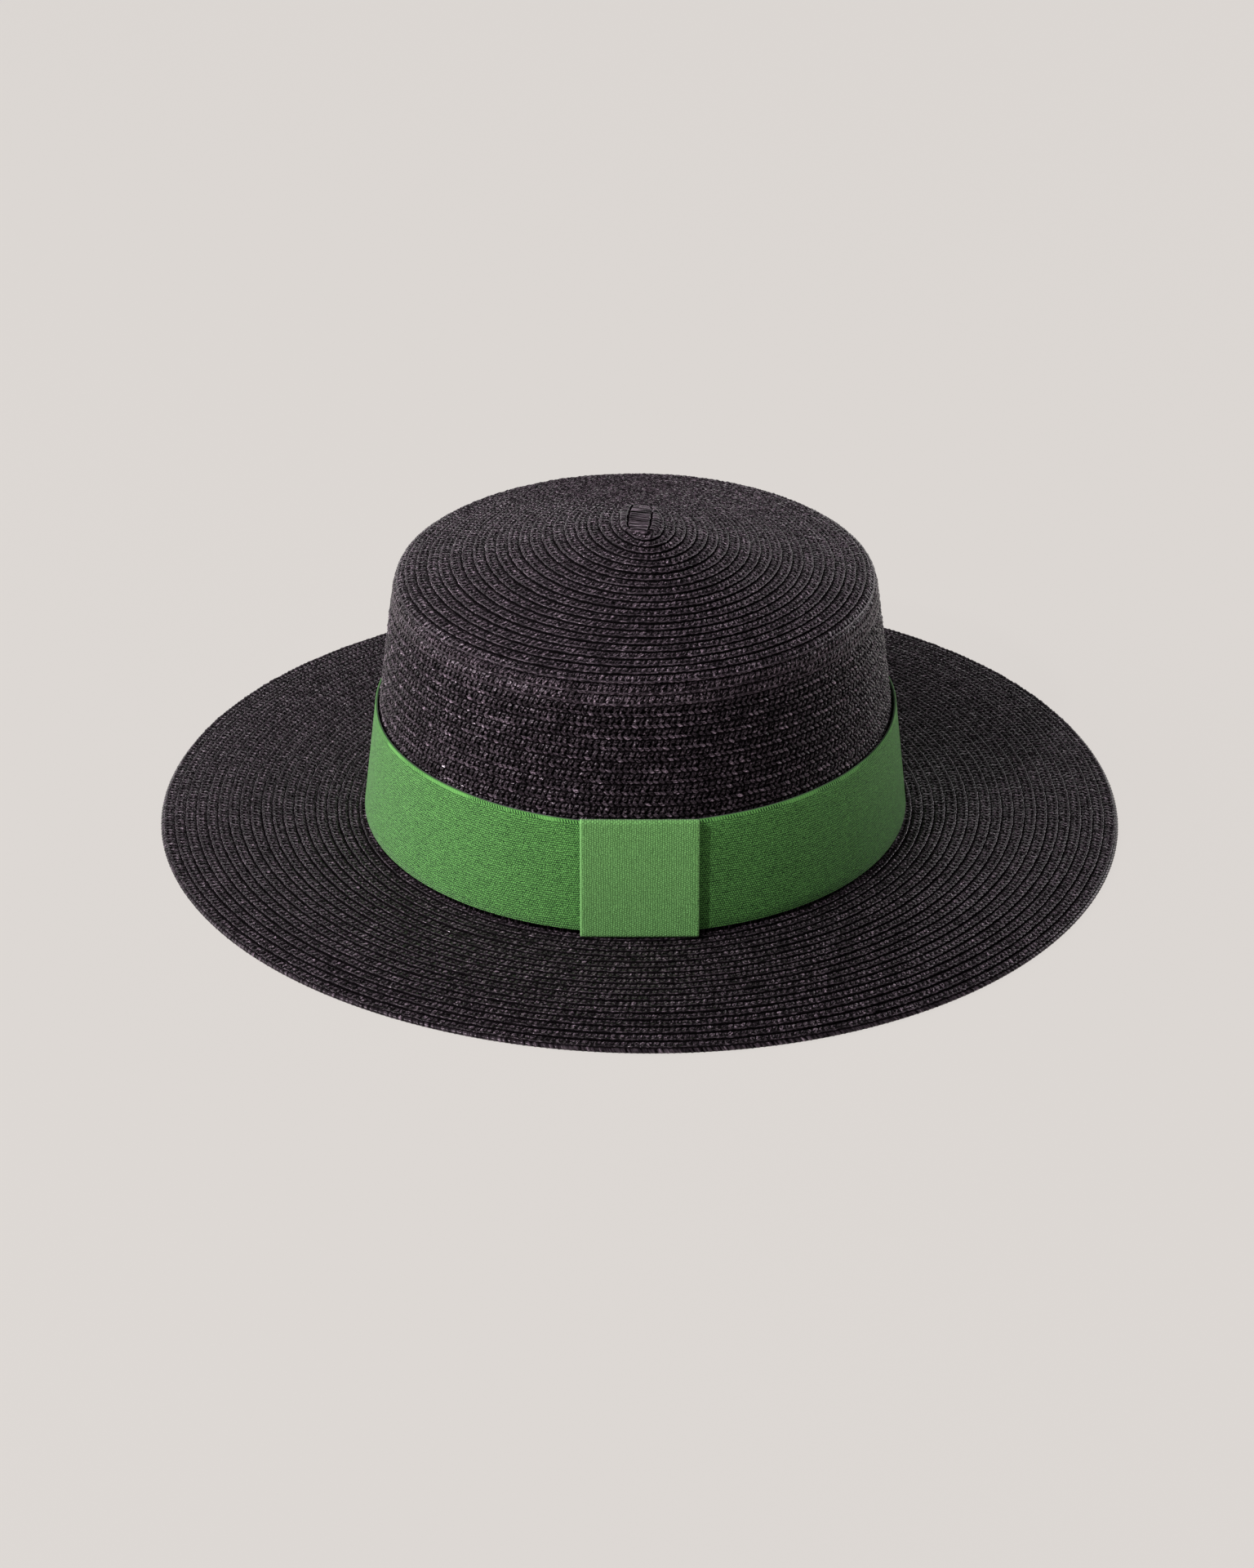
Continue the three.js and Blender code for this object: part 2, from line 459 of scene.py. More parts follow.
def straw_material(name, bead, edge, top, notch, slot, deep=0.0, uneven=0.0, plaited=False):
    """Glossy black paper braid. The tones are those of the flat plaits (bead), of the outer strand (edge),
    of the strand's top, and of the notches in it. Where edge and the top's tone exceed bead, the strand is
    painted lighter, a painted highlight. The slots between flat plaits are as wide as slot, and deep is
    their tone: the slots, the notches, holes, pits and both edges of a row are painted dark as shade. With
    uneven, a few plaits of the strand are far lighter than the rest, painted glints. plaited draws plaits
    where the mesh has none."""
    made = material(name)
    n = Nodes(made)
    phase, place = n.uv()
    within = n.math("FRACT", n.plus(place, 0.0001))
    strand = n.spread(within, STRAND_START - 0.02, STRAND_START + 0.02, 0.0, 1.0)
    flat = n.minus(1.0, strand)

    # The paper's colour, in long and short patches
    long_way = n.noise(n.combine(phase, place), 0.11, 2.0)
    short_way = n.noise(n.combine(n.times(phase, 1.3), n.times(place, 2.2)), 1.0, 3.0)
    blend = n.plus(n.times(long_way, 0.6), n.times(short_way, 0.4))
    colour = n.mix(n.spread(blend, 0.35, 0.65, 0.0, 1.0), DARK_STRAW, LIGHT_STRAW)

    # A tone for each single plait
    lot = n.add("ShaderNodeTexWhiteNoise", noise_dimensions="2D")
    number = n.combine(n.math("FLOOR", n.plus(phase, 0.5)), n.math("FLOOR", n.plus(strand, 0.5)))
    n.put(lot.inputs["Vector"], number)
    # Painted glints: with uneven, a few plaits of the strand are made far lighter than the rest
    rare_glint = n.times(strand, uneven)
    own = n.math("POWER", lot.outputs["Value"], n.plus(1.0, n.times(rare_glint, 3.0)))
    own = n.times(own, n.plus(1.1, n.times(rare_glint, 1.5)))
    own = n.plus(own, n.minus(0.5, n.times(rare_glint, 0.35)))
    # Painted highlight: where edge is above bead the strand is painted lighter than the flat plaits, and top
    # lightens the strand's top
    tone = n.times(own, n.plus(bead, n.times(strand, edge - bead)))
    from_top = n.math("ABSOLUTE", n.minus(within, STRAND_TOP))
    tone = n.times(tone, n.spread(from_top, 0.02, 0.08, top, 1.0))
    # Painted highlight: the flat plaits are painted lighter towards their outer ends
    outward = n.spread(within, 0.12, 0.48, 0.7, 1.5)
    tone = n.times(tone, n.plus(n.times(outward, flat), strand))

    # Fibres, with painted glints on their lightest streaks, and pits in the flat plaits, painted dark as
    # shade
    along_row = n.times(phase, n.plus(1.6, n.times(flat, 1.9)))
    across_row = n.times(place, n.plus(5.6, n.times(strand, 6.4)))
    fibre = n.noise(n.combine(along_row, across_row), 1.0, 2.0, 0.6)
    streak = n.spread(fibre, 0.38, 0.56, 0.08, 1.3)
    painted_glints = n.spread(fibre, 0.57, 0.68, 0.0, 3.8)
    pits = n.noise(n.combine(n.times(phase, 1.9), n.times(place, 5.0), 9.0), 1.0, 1.0)
    pits = n.math("MINIMUM", n.plus(n.spread(pits, 0.38, 0.47, 0.08, 1.0), strand), 1.0)

    # Where there is straw (1) and where a gap is painted dark as shade (0): the slots between flat plaits,
    # the notches of the strand, the groove beside it, the pits, and both edges of the row, under the rows'
    # overhanging edges
    from_crease = n.math("ABSOLUTE", n.minus(n.math("FRACT", phase), 0.5))
    slots = n.spread(from_crease, 0.4 * slot, slot, deep, 1.0)
    notches = n.spread(from_crease, 0.02, 0.24, notch, 1.0)
    straw = n.plus(n.times(slots, flat), n.times(notches, strand))
    rungs = n.spread(n.math("COSINE", n.times(phase, 2 * math.pi)), -0.3, 0.3, 0.02, 1.0)
    groove = n.spread(n.math("ABSOLUTE", n.minus(within, GROOVE)), 0.05, 0.09, 0.0, 1.0)
    straw = n.times(straw, n.math("MAXIMUM", groove, rungs))
    inner_edge_shade = n.spread(within, 0.01, 0.06, 0.02, 1.0)
    outer_edge_shadow = n.spread(within, 0.91, 0.96, 1.0, 0.02)
    straw = n.times(n.times(straw, n.times(inner_edge_shade, outer_edge_shadow)), pits)

    # The painted shade of the gaps and the painted highlights of the tones and glints go into the colour
    # here
    shade = n.times(n.times(tone, straw), n.plus(streak, painted_glints))
    colour = n.mix(1.0, colour, n.grey(shade), "MULTIPLY")
    fibre_height = n.times(fibre, n.plus(0.35, n.times(flat, 0.30)))
    normal = n.bump(n.plus(fibre_height, n.times(pits, 0.4)), 0.8, 0.22)
    if plaited:
        slant = n.plus(phase, n.times(within, 0.6))
        lobe = n.math("SINE", n.times(slant, 2 * math.pi))
        ridge = n.math("SINE", n.times(within, math.pi))
        normal = n.bump(n.times(lobe, ridge), 0.8, 0.35, normal)
    rough = n.spread(n.noise(n.combine(phase, place, 4.0), 1.7, 2.0), 0.3, 0.7, 0.10, 0.24)
    rough = n.plus(rough, n.times(flat, 0.06))
    rough = n.plus(n.times(rough, straw), n.minus(1.0, straw))
    # The painted-shade gaps also lose their reflection
    shine = n.times(straw, n.spread(fibre, 0.40, 0.56, 0.1, 1.0))
    shine = n.times(shine, n.spread(own, 0.10, 0.90, 0.2, 1.0))
    n.principled(
        Base_Color=colour,
        Roughness=rough,
        Normal=normal,
        Specular_IOR_Level=0.5,
        Specular_Tint=n.mix(shine, BLACK, STRAW_SHINE),
        IOR=1.45,
    )
    return made


def painted_shade_material():
    """Painted shade: a matt near-black colour for the depths between plaits and under the edge of a row,
    where shade falls.
    """
    made = material("straw_painted_shade")
    n = Nodes(made)
    phase, place = n.uv()
    speck = n.noise(n.combine(phase, place), 1.3, 2.0)
    colour = n.mix(speck, (0.002, 0.0015, 0.002, 1), (0.012, 0.0095, 0.011, 1))
    n.principled(Base_Color=colour, Roughness=1.0, Specular_IOR_Level=0.0)
    return made


def ribbon_material(name, deep, pale, rib, pick, selvedge=None):
    """Woven ribbon, whose ribs are rib apart, with their threads pick apart. The place on it is in
    millimetres. Its stitched upper edge starts at selvedge. Without that, its two side edges are paler: the
    near one as a painted highlight, the far one with its stitches."""
    made = material(name)
    n = Nodes(made)
    length, across = n.uv()

    # The weave, slightly out of line
    drift = n.minus(n.noise(n.combine(length, across), 0.35, 2.0), 0.5)
    shake = n.minus(n.noise(n.combine(length, across, 5.0), 1.1, 1.0), 0.5)
    sway = n.plus(n.times(drift, 0.6), n.times(shake, 0.6))
    row = n.math("DIVIDE", n.plus(across, sway), rib)
    row_number = n.math("FLOOR", row)
    step = n.plus(n.math("DIVIDE", n.minus(length, sway), pick), n.times(row_number, 0.5))
    ribs = n.math("ABSOLUTE", n.math("SINE", n.times(row, math.pi)))
    picks = n.math("ABSOLUTE", n.math("SINE", n.times(step, math.pi)))
    weave = n.times(n.math("POWER", ribs, 0.8), n.math("POWER", picks, 0.6))

    # Single threads that are lighter or darker, and fuzz
    warp = n.noise(n.combine(n.times(length, 0.5), n.times(row_number, 3.7)), 1.0, 1.0)
    pick_number = n.math("FLOOR", n.math("DIVIDE", length, pick))
    weft = n.noise(n.combine(n.times(pick_number, 2.9), across, 3.0), 0.8, 1.0)
    fuzz = n.noise(n.combine(length, across), 1.9, 2.0, 0.6)
    threads = n.times(n.plus(warp, weft), 0.45)
    loose = n.minus(n.plus(n.times(fuzz, 1.6), threads), 1.25)
    height = n.plus(weave, n.times(loose, 0.5))
    tone = n.plus(n.times(weave, 1.1), loose)

    stitch = n.times(length, 2 * math.pi)
    if selvedge:
        past = n.math("GREATER_THAN", across, selvedge)
        above = n.minus(across, selvedge)
        slant = n.math("SINE", n.plus(stitch, n.times(above, 2.5)))
        faint = n.spread(n.noise(n.combine(length, 7.0), 0.06, 2.0), 0.35, 0.60, 0.25, 1.0)
        stitches = n.spread(slant, -0.3, 0.5, n.minus(1.0, faint), 1.0)
        edge = n.spread(above, 0.92, 1.02, stitches, 0.62)
        edge = n.times(edge, n.spread(across, BAND_EDGE_MARKS[0], 37.55, 1.0, 0.45))
        height = n.mix(past, n.grey(height), n.grey(edge))
        tone = n.mix(past, n.grey(tone), n.grey(edge))
    else:
        # Painted highlight along the near side edge; the far edge is paler with its stitches
        near_edge_highlight = n.spread(across, 0.4, 1.0, 0.7, 0.0)
        far = n.spread(across, 37.0, 37.5, 0.0, 0.6)
        far = n.times(far, n.spread(n.math("SINE", stitch), -0.4, 0.4, 0.0, 1.0))
        tone = n.plus(tone, n.plus(near_edge_highlight, far))
    n.principled(
        Base_Color=n.mix(n.spread(tone, 0.25, 1.10, 0.0, 1.0, smooth=False), deep, pale),
        Roughness=0.8,
        Normal=n.bump(height, 0.6, 0.26),
        Specular_IOR_Level=0.12,
        Sheen_Weight=0.18,
        Sheen_Roughness=0.5,
    )
    return made


crown_straw = straw_material("crown_straw", bead=1.06, edge=1.05, top=1.0, notch=0.60, slot=0.16, deep=0.05)
button_straw = straw_material(
    "crown_button_straw", bead=1.3, edge=1.3, top=1.0, notch=0.75, slot=0.16, deep=0.30
)
# The side's strand is painted far lighter than its plaits: a painted highlight for the light on its glossy
# top
side_straw = straw_material(
    "crown_side_straw", bead=0.58, edge=1.35, top=1.2, notch=0.10, slot=0.26, deep=0.16, uneven=0.5
)
brim_straw = straw_material("brim_straw", bead=0.84, edge=0.72, top=1.0, notch=0.35, slot=0.18, deep=0.05)
inner_straw = straw_material(
    "inner_straw", bead=0.75, edge=1.2, top=1.0, notch=0.40, slot=0.34, deep=0.02, plaited=True
)
# The painted shade for the braid's holes and row edges
straw_painted_shade = painted_shade_material()
band_cloth = ribbon_material(
    "band_ribbon",
    deep=(0.012, 0.058, 0.010, 1),
    pale=(0.200, 0.548, 0.132, 1),
    rib=0.72,
    pick=0.72,
    selvedge=36.3,
)
keeper_cloth = ribbon_material(
    "keeper_ribbon",
    deep=(0.090, 0.225, 0.062, 1),
    pale=(0.245, 0.560, 0.175, 1),
    rib=0.75,
    pick=0.70,
)


def finish_piece(made, cover, slot, *nodes):
    """Gives a piece its material, and a straw piece the painted shade for its gaps; puts it under the root
    body and hides the solids that it stands for.
    """
    made.data.materials.append(cover)
    # Straw pieces also get the painted shade for the faces in their gaps
    if "straw" in slot:
        made.data.materials.append(straw_painted_shade)
    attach(made, "root")
    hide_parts(*nodes)
    return made


# Tip and side of the crown
tip = braid("crown_tip", crown_at, FLAT_SECTION, TIP_FIRST_EDGE, 0.0, TIP_TURNS, 11, FLAT_RELIEF)
finish_piece(tip, crown_straw, "crown_straw", "crown")
side = braid("crown_side", crown_at, SIDE_SECTION, TIP_FIRST_EDGE, TIP_TURNS, SIDE_TURNS, 23, SIDE_RELIEF)
finish_piece(side, side_straw, "crown_straw", "crown")

# The flat button where the braid starts
BUTTON_HALF_LENGTH = 11.5
BUTTON_HALF_WIDTH = 6.8
BUTTON_X = HEAD_X + START_X - 1.2
BUTTON_Y = START_Y + 1.5
BUTTON_Z = 103.6
BUTTON_TOP = 105.0
BUTTON_STRAND = 1.9  # width of a strand that lies across it


def button_piece():
    """A short folded length of braid, its strands lying across it, with a ridge and a slit to each side."""
    y = np.linspace(-1, 1, 97)[:, None]
    x = np.linspace(-1, 1, 41)[None, :]
    px = BUTTON_HALF_WIDTH * (1 - np.abs(y) ** 4) ** (1 / 2.6) * x
    py = BUTTON_HALF_LENGTH * y + 0 * x
    turned = x - 0.12 * y

    def line(middle, width):
        """1 along a slanted line of that width, and 0 away from it."""
        return np.exp(-(((turned - middle) / width) ** 2))

    slits = (line(-0.58, 0.05) + line(0.54, 0.05)) * (np.abs(y) < 0.86)
    ridges = line(-0.76, 0.14) + line(0.74, 0.13)
    edge = np.clip(np.maximum(np.abs(x), np.abs(y) ** 2), 0, 1)
    dome = np.sqrt(np.clip(1 - edge**6, 0, 1))
    strands = 0.10 * np.cos(2 * math.pi * py / BUTTON_STRAND + 1.4 * x) * (dome > 0.4)
    tilt = -0.09 * px - 0.06 * np.abs(py)
    pz = BUTTON_Z + tilt + dome + strands + 0.25 * ridges - 0.8 * slits
    points = np.stack([BUTTON_X + px, BUTTON_Y + py, np.minimum(pz, BUTTON_TOP)], -1)
    marks = np.stack([y * 6.4 + 0 * x, 0 * y + 0.34 + 0.16 * x], -1)
    made = grid("crown_button", points, marks)
    # Painted shade: the faces in the slits take the second, near-black material
    gap = slits[:-1, :-1] + slits[1:, 1:] > 0.9
    made.data.polygons.foreach_set("material_index", gap.ravel().astype(np.int32))
    return made


finish_piece(button_piece(), button_straw, "crown_straw", "crown")

# Rows on the inside and the underside: points across a row, how far it bulges, and the first row's number
HIDDEN_PLACES = (0.0, 0.33, 0.66, 0.93)
HIDDEN_BULGE = 0.25
INSIDE_MARK = 200
BELOW_MARK = 100
BELOW_ROWS = 19
BELOW_EDGE = 88.7


def hidden_bulge(place):
    return HIDDEN_BULGE * math.sin(math.pi * min(place / HIDDEN_PLACES[-1], 1))


# Inside of the crown, and its wall behind the ribbon
BEHIND_TOP_Z = 43.0  # the outer wall starts here, just above the ribbon
BEHIND_DEPTH = -0.6
FOOT_OVERLAP = 0.9  # how far the inside reaches below the crown's foot
INSIDE_START = 4  # length left without rows at the middle of the tip


def crown_inside():
    foot = float(np.interp(-FOOT_Z, -crown_z, crown_s)) + FOOT_OVERLAP
    behind = float(np.interp(-BEHIND_TOP_Z, -crown_z, crown_s))
    section = [((s, BEHIND_DEPTH), 0.5) for s in np.linspace(behind, foot, 6)]
    section += [((foot, -1.2), 0.5), ((foot, -STRAW_WALL), 0.5)]
    rows = int((foot - INSIDE_START) / ROW)
    for k in range(rows):
        for place in HIDDEN_PLACES:
            depth = STRAW_WALL + hidden_bulge(place) - 0.10
            section.append(((foot - ROW * (k + place), -depth), INSIDE_MARK - k - place))
    section.append(((0.15, -STRAW_WALL), INSIDE_MARK - rows + 0.5))

    def ring(value, angle):
        s, height = value
        return raised(crown_at, s + 0 * angle, angle, height + 0 * angle)

    return shell("crown_inside", ring, section, 150)


finish_piece(crown_inside(), inner_straw, "crown_straw", "crown")

# Brim, in three lengths of braid
for name, start, stop, seed in (
    ("brim_inner_rows", BRIM_TURNS[0], BRIM_TURNS[1], 31),
    ("brim_middle_rows", BRIM_TURNS[1], BRIM_TURNS[2], 41),
    ("brim_outer_rows", BRIM_TURNS[2], BRIM_TURNS[3], 51),
):
    rows = braid(name, brim_at, FLAT_SECTION, BRIM_FIRST_EDGE - ROW, start, stop, seed, FLAT_RELIEF)
    finish_piece(rows, brim_straw, "brim_straw", "brim")


def brim_below():
    """The underside, with its rows, and the edge of the head opening."""
    section = [((90.6, 1.2, 0), 0.5), ((88.9, 1.2, 0), 0.5), ((BRIM_START, 0.6, 0), 0.5)]
    for k in range(BELOW_ROWS):
        for place in HIDDEN_PLACES:
            a = BELOW_EDGE + ROW * (k + place)
            z = float(np.interp(a, brim_a, brim_under)) + 0.3
            section.append(((a, z, hidden_bulge(place)), BELOW_MARK + k + place))

    def ring(value, angle):
        a, z, bulge = value
        return brim_ring(a, np.maximum(z - bulge, LOWEST), angle)

    return shell("brim_below", ring, section, 240)


finish_piece(brim_below(), inner_straw, "brim_straw", "brim")

RIM_PLAITS = 545
RIM_PLAIT_POINTS = 3
RIM_SWELL = 0.10
RIM_LEAN = 0.16  # each point of the line lies this part of a plait further on
RIM_MARK = 0.72  # the rim looks like the outer strand of a row
RIM_MIDDLE = np.array([159.9, 0.9])
# Half width and height, from the brim's top around its edge to the underside
RIM_LINE = [
    (157.4, 1.45),
    (158.8, 1.70),
    (160.4, 1.80),
    (161.5, 1.60),
    (161.95, 1.10),
    (161.6, 0.50),
    (160.7, 0.14),
    (159.2, 0.10),
    (158.0, 0.50),
]


def rim_piece():
    """The turned edge under the last row of the brim."""
    steps = RIM_PLAITS * RIM_PLAIT_POINTS
    angle = np.linspace(0, 2 * math.pi, steps, endpoint=False)
    phase = np.arange(steps + 1) / RIM_PLAIT_POINTS
    which = np.floor(phase[:-1] + 0.5).astype(int)
    size = np.random.default_rng(61).uniform(0.6, 1.3, RIM_PLAITS + 2)[which]
    size[-2:] = size[0]
    every_other = 1 + 0.25 * np.cos(math.pi * phase[:-1])
    lobe = np.cos(2 * math.pi * phase[:-1]) * every_other * size
    points = []
    marks = []
    for i, (a, z) in enumerate(RIM_LINE):
        out = np.array([a, z]) - RIM_MIDDLE
        out /= np.linalg.norm(out)
        swell = RIM_SWELL * lobe * math.sin(math.pi * i / (len(RIM_LINE) - 1))
        turned = angle + RIM_LEAN * i / RIM_PLAITS * 2 * math.pi
        points.append(brim_ring(a + out[0] * swell, np.maximum(z + out[1] * swell, LOWEST), turned))
        marks.append(np.stack([phase, 0 * phase + RIM_MARK + 0.01 * i], -1))
    return grid("brim_rim", np.stack(points, 1), np.stack(marks, 1), closed=True)


finish_piece(rim_piece(), brim_straw, "brim_straw", "brim")


# Ribbon band
def band_off(t):
    """How far the band stands off the crown's wall, from t = 0 at its bottom to 1 at its top."""
    return RIBBON_OFF_BOTTOM + (RIBBON_OFF_TOP - RIBBON_OFF_BOTTOM) * t


# The band's rounded edges: distances from its back, and how far the outermost point stands out
EDGE_INNER = 0.1
EDGE_MIDDLE = 0.45
EDGE_OUTER = 0.75
EDGE_ROUND = 0.05


def band_piece():
    low_edge = RIBBON_BOTTOM + EDGE_ROUND
    high_edge = RIBBON_TOP - EDGE_ROUND
    section = [((low_edge, EDGE_OUTER), 0.0), ((RIBBON_BOTTOM, EDGE_MIDDLE), 0.0)]
    section += [((low_edge, EDGE_INNER), 0.0)]
    section += [((z, 0.0), z - RIBBON_BOTTOM) for z in (RIBBON_BOTTOM + 0.4, 22.0, RIBBON_TOP - 0.4)]
    outer_mark, middle_mark, inner_mark = BAND_EDGE_MARKS
    section += [((high_edge, EDGE_INNER), inner_mark), ((RIBBON_TOP, EDGE_MIDDLE), middle_mark)]
    section += [((high_edge, EDGE_OUTER), outer_mark)]
    heights = np.linspace(RIBBON_BOTTOM + 0.3, RIBBON_TOP - 0.3, 13)[::-1]
    section += [((z, RIBBON_THICKNESS), z - RIBBON_BOTTOM) for z in heights]
    angle = np.linspace(0, 2 * math.pi, TURN_STEPS, endpoint=False)
    length = np.arange(TURN_STEPS + 1) / TURN_STEPS * BAND_GIRTH
    ripple = 0.10 * np.sin(3 * angle + 1) + 0.07 * np.sin(7 * angle + 2) + 0.04 * np.sin(17 * angle)
    sag = 0.10 * np.sin(5 * angle + 0.5)
    points = []
    marks = []
    for (z, thick), mark in section:
        t = (z - RIBBON_BOTTOM) / (RIBBON_TOP - RIBBON_BOTTOM)
        a = side_half_width(z) + band_off(t) + thick + ripple * t
        x = HEAD_X + a * np.cos(angle)
        y = (a + OVAL_EXTRA) * np.sin(angle)
        points.append(np.stack([x, y, z + (sag if t > 0.5 else 0 * sag)], -1))
        marks.append(np.stack([length, 0 * length + mark], -1))
    return grid("ribbon_band_cloth", np.stack(points, 1), np.stack(marks, 1), closed=True, round_it=True)


band = finish_piece(band_piece(), band_cloth, "ribbon", "ribbon_band")

# Keeper
KEEPER_TOP_Z = 41.75
KEEPER_LOW_Z = 2.85
KEEPER_GAP = 0.3  # between the band and the keeper
KEEPER_MIDDLE = 0.55  # from the back of the keeper to the middle of its cloth
KEEPER_CLOTH = 1.0  # thickness
KEEPER_SIDE = 0.7  # width of each rounded side edge
KEEPER_BOW = 0.2  # how far the side edges fall back
FOLD_STEPS = 7
FRONT_STEPS = 14
FLAT_STEPS = 25
SIDE_STEPS = 5


def keeper_path():
    """Middle of the keeper's cloth from side view: distance in front of the axis, and height."""
    wall_top = side_half_width(41.3) + OVAL_EXTRA
    wall_low = side_half_width(3.0) + OVAL_EXTRA
    over_band = RIBBON_THICKNESS + KEEPER_GAP + KEEPER_MIDDLE
    # Each corner has a place and how far from it the bend starts
    corners = [
        (wall_top + 0.35, KEEPER_TOP_Z, 0),
        (wall_top + RIBBON_OFF_TOP + over_band, KEEPER_TOP_Z, 0.75),
        (wall_low + RIBBON_OFF_BOTTOM + over_band, KEEPER_LOW_Z, 0.9),
        (wall_low + 0.45, KEEPER_LOW_Z, 0),
    ]
    line = [np.array(corners[0][:2])]
    for before, here, after in zip(corners, corners[1:], corners[2:]):
        p = np.array(here[:2])
        back = np.array(before[:2]) - p
        on = np.array(after[:2]) - p
        back /= np.linalg.norm(back)
        on /= np.linalg.norm(on)
        for t in np.linspace(0, 1, FOLD_STEPS):
            line.append(p + here[2] * ((1 - t) ** 2 * back + t**2 * on))
    line.append(np.array(corners[-1][:2]))
    line = np.array(line)
    at = lengths(line)
    down_front = np.linspace(at[FOLD_STEPS] + 2, at[FOLD_STEPS + 1] - 2, FRONT_STEPS)
    stops = np.unique(np.concatenate([at, down_front]))
    return stops, np.stack([np.interp(stops, at, line[:, 0]), np.interp(stops, at, line[:, 1])], 1)


def keeper_piece():
    stops, line = keeper_path()
    along_it = np.gradient(line, axis=0)
    along_it /= np.linalg.norm(along_it, axis=1, keepdims=True)
    outward = np.stack([-along_it[:, 1], along_it[:, 0]], 1)
    half = KEEPER_WIDTH / 2
    bend = np.linspace(0.2, 1, SIDE_STEPS) * math.pi / 2
    flat_x = np.linspace(-half + KEEPER_SIDE, half - KEEPER_SIDE, FLAT_STEPS)
    side_x = half - KEEPER_SIDE + KEEPER_SIDE * np.sin(bend)
    x = np.concatenate([-side_x[::-1], flat_x, side_x])
    thin = np.concatenate([np.cos(bend)[::-1], np.ones(len(flat_x)), np.cos(bend)])
    bow = -KEEPER_BOW * (x / half) ** 2
    ends = np.ones(len(stops))
    ends[0] = ends[-1] = 0.02
    strips = []
    marks = []
    for sign in (1, -1):
        order = range(len(x)) if sign > 0 else range(len(x) - 2, 0, -1)
        for i in order:
            off = sign * 0.5 * KEEPER_CLOTH * thin[i] * ends
            u = line[:, 0] + off * outward[:, 0] + bow[i]
            z = line[:, 1] + off * outward[:, 1]
            strips.append(np.stack([KEEPER_X + x[i] + 0 * u, -u, z], -1))
            marks.append(np.stack([stops, 0 * stops + x[i] + half], -1))
    marks.append(marks[0])
    made = grid("ribbon_keeper_cloth", np.stack(strips), np.stack(marks), closed=True)
    weld(made, 0.03)
    return made


keeper = finish_piece(keeper_piece(), keeper_cloth, "keeper_ribbon", "ribbon_keeper")

# Camera
AIM = Vector((-4.22, 0, 8.08)) * MM
ELEVATION = math.radians(27.14)
DISTANCE = 1426.58 * MM
camera_data = bpy.data.cameras.new("camera")
camera_data.lens = 96.48
camera_data.sensor_width = 36
camera = bpy.data.objects.new("camera", camera_data)
bpy.context.scene.collection.objects.link(camera)
back = Vector((0, -math.cos(ELEVATION), math.sin(ELEVATION)))
camera.location = AIM + back * DISTANCE
camera.rotation_mode = "QUATERNION"
camera.rotation_quaternion = (-back).to_track_quat("-Z", "Y")
camera_data.clip_start = 0.05
camera_data.clip_end = 50
bpy.context.scene.camera = camera

# Floor and light. Lengths are metres from here on.
FLOOR = 9  # half its width
FLOOR_PAINT = (0.030, 0.0285, 0.0275, 1)  # takes the shadows
FLOOR_GLOW = (0.690, 0.655, 0.628, 1)
floor_mesh = bpy.data.meshes.new("floor")
floor_corners = [(-FLOOR, -FLOOR, 0), (FLOOR, -FLOOR, 0), (FLOOR, FLOOR, 0), (-FLOOR, FLOOR, 0)]
floor_mesh.from_pydata(floor_corners, [], [(0, 1, 2, 3)])
floor = bpy.data.objects.new("floor", floor_mesh)
bpy.context.scene.collection.objects.link(floor)
paper = material("floor")
n = Nodes(paper)
plain = n.add("ShaderNodeBsdfDiffuse")
plain.inputs["Color"].default_value = FLOOR_PAINT
glow = n.add("ShaderNodeEmission")
glow.inputs["Color"].default_value = FLOOR_GLOW
glow.inputs["Strength"].default_value = 1.0
both = n.add("ShaderNodeAddShader")
out = n.add("ShaderNodeOutputMaterial")
paper.node_tree.links.new(plain.outputs[0], both.inputs[0])
paper.node_tree.links.new(glow.outputs[0], both.inputs[1])
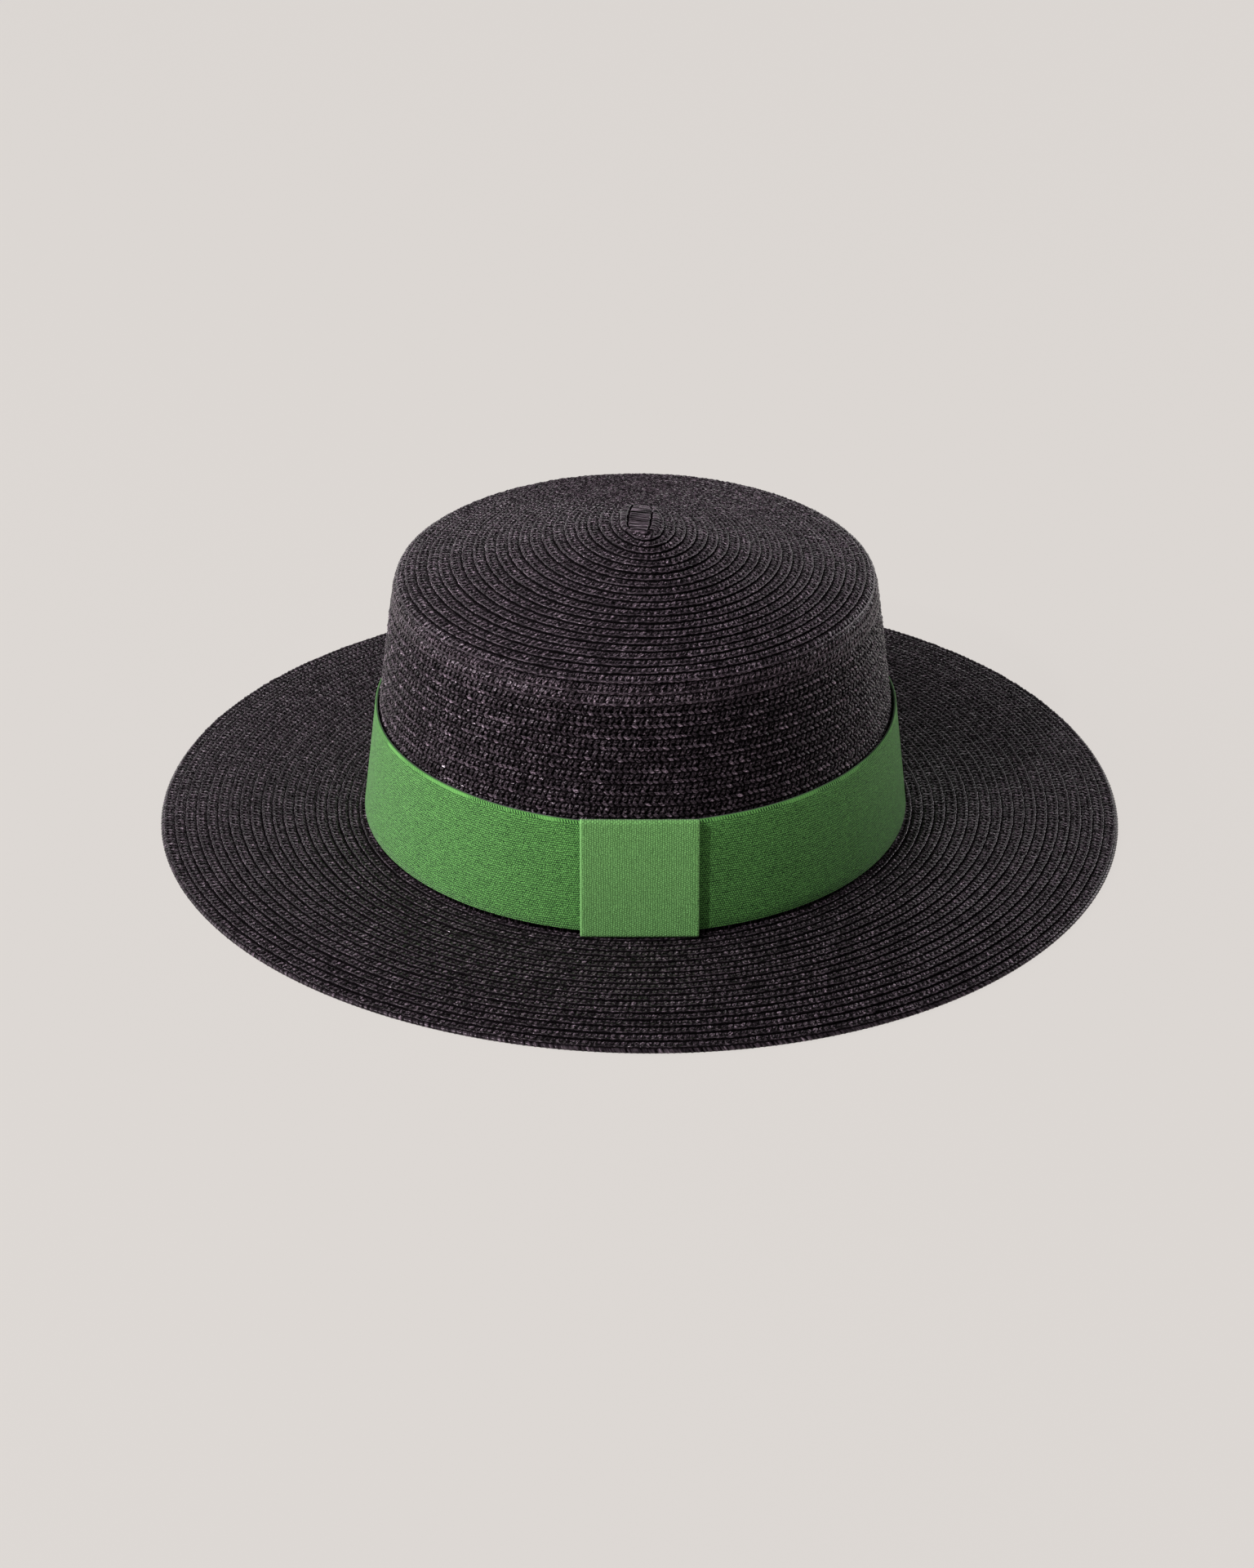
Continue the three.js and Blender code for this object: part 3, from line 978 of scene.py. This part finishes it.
paper.node_tree.links.new(both.outputs[0], out.inputs[0])
floor_mesh.materials.append(paper)

# The sky glows near the horizon, mostly behind the hat
world = bpy.data.worlds.new("studio")
world.use_nodes = True
world_nodes = Nodes(world)
sky = world.node_tree.nodes["Background"]
place = world_nodes.add("ShaderNodeTexCoord")
split = world_nodes.add("ShaderNodeSeparateXYZ")
world.node_tree.links.new(place.outputs["Generated"], split.inputs[0])
low_glow = world_nodes.spread(split.outputs[2], 0.0, 0.45, 0.8, 0.0)
behind = world_nodes.spread(split.outputs[1], -0.3, 0.6, 0.0, 1.0)
strength = world_nodes.plus(world_nodes.times(low_glow, behind), 0.08)
world_nodes.put(sky.inputs["Strength"], strength)
sky.inputs["Color"].default_value = (1.0, 0.98, 0.97, 1)
bpy.context.scene.world = world

HAT_MIDDLE = Vector((0, 0, 0.04))  # the lamps face this point


def lamp(name, azimuth, height, far, width, tall, power):
    """A soft box that faces the hat, in degrees, metres and watts. Azimuth 0 is in front of the hat and
    -90 is to its left."""
    data = bpy.data.lights.new(name, "AREA")
    data.shape = "RECTANGLE"
    data.size = width
    data.size_y = tall
    data.energy = power
    made = bpy.data.objects.new(name, data)
    a = math.radians(azimuth)
    e = math.radians(height)
    way = Vector((math.sin(a) * math.cos(e), -math.cos(a) * math.cos(e), math.sin(e)))
    made.location = way * far + HAT_MIDDLE
    made.rotation_mode = "QUATERNION"
    made.rotation_quaternion = (-way).to_track_quat("-Z", "Y")
    made.visible_camera = False
    bpy.context.scene.collection.objects.link(made)


lamp("key", -66, 36, 1.7, 0.5, 0.5, 14)
lamp("glint", -40, 40, 1.7, 0.08, 0.08, 12)
lamp("left_fill", -102, 26, 1.9, 1.6, 1.0, 15)
lamp("front_top", -15, 55, 1.8, 1.4, 0.8, 0.8)
lamp("right_fill", 35, 22, 1.9, 1.2, 1.0, 2.0)
lamp("right_side", 125, 25, 1.9, 0.9, 0.8, 9.5)
lamp("back", 180, 10, 1.9, 3.0, 0.45, 3.2)

bpy.context.scene.view_settings.view_transform = "Standard"
